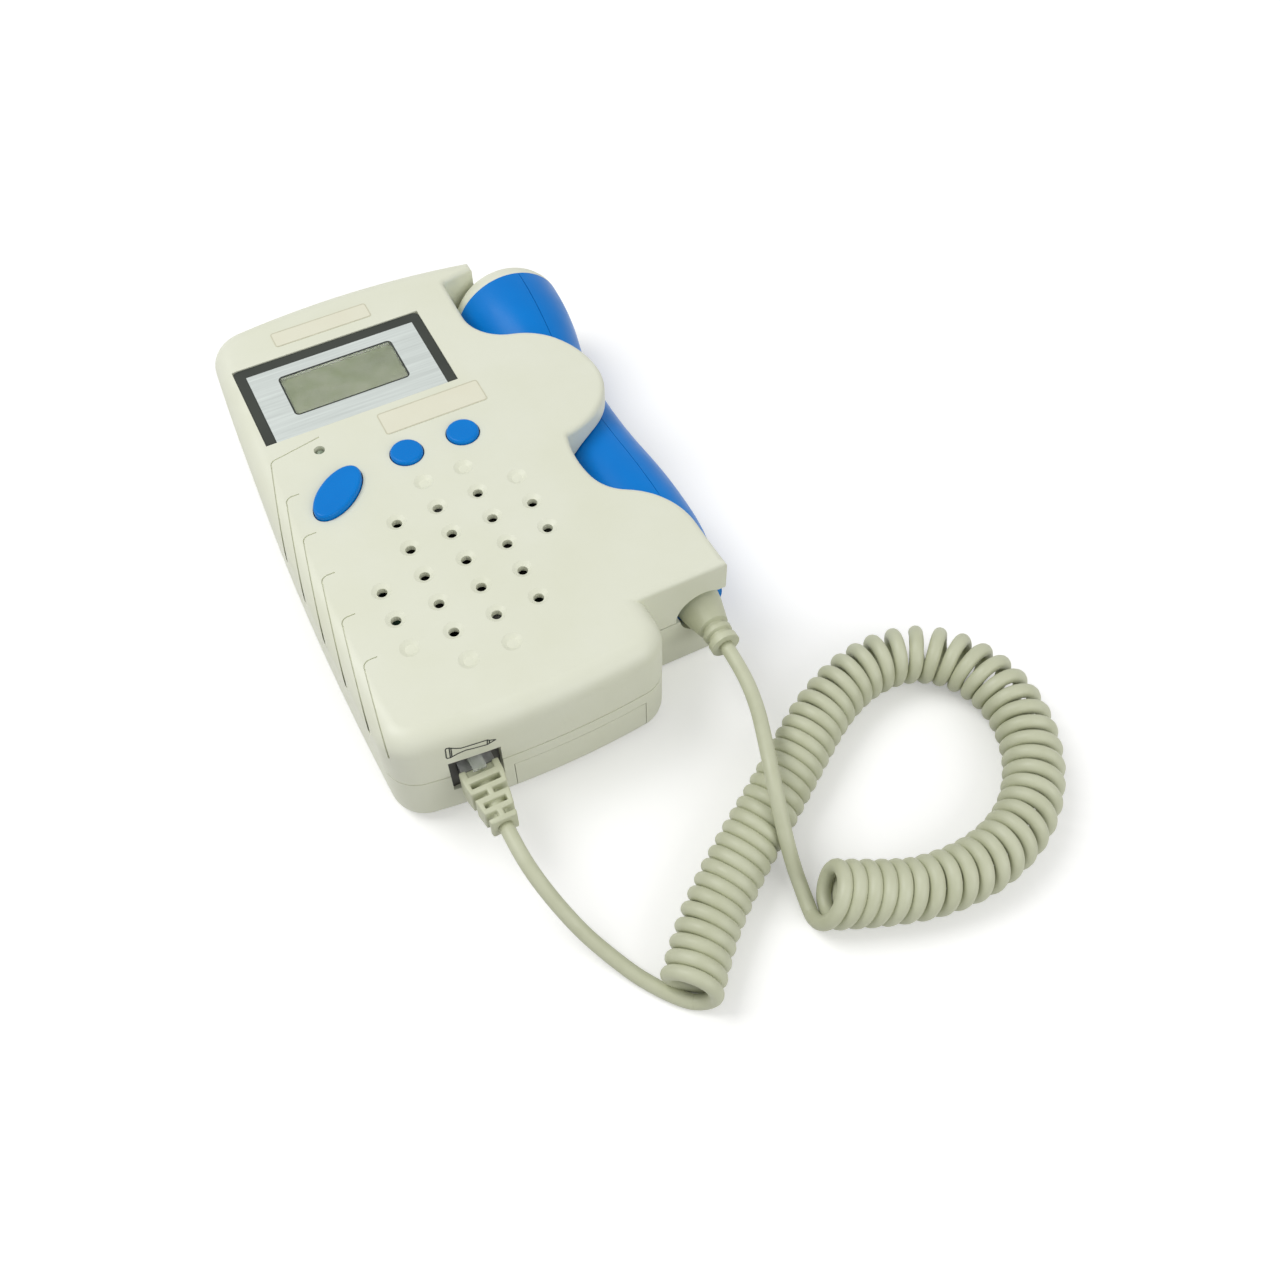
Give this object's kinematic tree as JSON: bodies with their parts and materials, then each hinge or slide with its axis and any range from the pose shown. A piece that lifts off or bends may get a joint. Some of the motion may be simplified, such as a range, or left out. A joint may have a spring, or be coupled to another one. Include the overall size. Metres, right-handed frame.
{
  "type": "fetal doppler monitor",
  "caption": "Pocket fetal doppler with display, push buttons and speaker grille, its probe cradled in the side wing and joined by a curly lead.",
  "frame": {"origin": "on the back's rest face, under the middle of the casing", "axes": "+Z out of the face, +Y toward the display end, +X toward the probe"},
  "size_m": [0.1402, 0.2121, 0.033],
  "materials": {
    "ivory_plastic": "fine moulded satin",
    "blue_plastic": "satin gloss",
    "dark_bezel": "satin",
    "silver_overlay": "metallic satin film",
    "lcd_lens": "clear lens",
    "lcd_glass": "grey-green reflective panel",
    "black_plastic": "moulded",
    "dark_rubber": "matte",
    "circuit_board": "solder-masked laminate",
    "screw_steel": "zinc plated",
    "led_lens": "diffused lens",
    "speaker_steel": "plated",
    "speaker_paper": "pressed cone",
    "cell_steel": "sleeved can",
    "contact_steel": "nickel plated",
    "contact_gold": "gold plated",
    "crystal_ceramic": "silvered",
    "clear_plastic": "clear moulded plastic",
    "cord_rubber": "satin sheath"
  },
  "bodies": {
    "casing": {"front_shell": "ivory_plastic", "rear_shell": "ivory_plastic", "display_bezel": "dark_bezel", "display_overlay": "silver_overlay", "lcd_window": "lcd_lens", "lcd_glass": "lcd_glass", "lcd_holder": "black_plastic", "zebra_strips": "dark_rubber", "main_board": "circuit_board", "board_chips": "black_plastic", "board_screws": "screw_steel", "case_screws": "screw_steel", "speaker_frame": "speaker_steel", "speaker_cone": "speaker_paper", "speaker_magnet": "speaker_steel", "speaker_gasket": "dark_rubber", "tact_switches": "black_plastic", "status_led": "led_lens", "jack_housing": "black_plastic", "jack_contacts": "contact_gold", "aa_batteries": "cell_steel", "battery_contacts": "contact_steel", "battery_springs": "contact_steel", "probe_lead": "cord_rubber", "curly_coil": "cord_rubber"},
    "battery_door": {"battery_door": "ivory_plastic"},
    "power_button": {"power_button": "blue_plastic", "power_plunger": "black_plastic"},
    "volume_down_button": {"volume_down_button": "blue_plastic", "volume_down_plunger": "black_plastic"},
    "volume_up_button": {"volume_up_button": "blue_plastic", "volume_up_plunger": "black_plastic"},
    "probe": {"probe_left_shell": "blue_plastic", "probe_right_shell": "blue_plastic", "transducer_cap": "ivory_plastic", "piezo_crystals": "crystal_ceramic", "acoustic_backing": "dark_rubber", "probe_board": "circuit_board", "probe_strain_relief": "cord_rubber"},
    "plug": {"plug_body": "clear_plastic", "plug_contacts": "contact_gold", "plug_boot": "cord_rubber", "plug_lead": "cord_rubber"},
    "plug_latch": {"plug_latch": "clear_plastic"}
  },
  "joints": [
    {"name": "power_press", "type": "slide", "parent": "casing", "child": "power_button", "axis": [0, 0, -1], "range_m": [0, 0.0007], "stiffness_N_per_m": 2500},
    {"name": "volume_down_press", "type": "slide", "parent": "casing", "child": "volume_down_button", "axis": [0, 0, -1], "range_m": [0, 0.0007], "stiffness_N_per_m": 2500},
    {"name": "volume_up_press", "type": "slide", "parent": "casing", "child": "volume_up_button", "axis": [0, 0, -1], "range_m": [0, 0.0007], "stiffness_N_per_m": 2500},
    {"name": "probe_slide", "type": "slide", "parent": "casing", "child": "probe", "axis": [1, 0, 0], "range_m": [0, 0.022]},
    {"name": "door_slide", "type": "slide", "parent": "casing", "child": "battery_door", "axis": [0, -1, 0], "range_m": [0, 0.01]},
    {"name": "plug_pull", "type": "slide", "parent": "casing", "child": "plug", "axis": [0, -1, 0], "range_m": [0, 0.012]},
    {"name": "latch_flex", "type": "hinge", "parent": "plug", "child": "plug_latch", "pos_m": [-0.0168, -0.0602, 0.01895], "axis": [1, 0, 0], "range_deg": [0, 3.8], "stiffness_Nm_per_rad": 0.5}
  ]
}
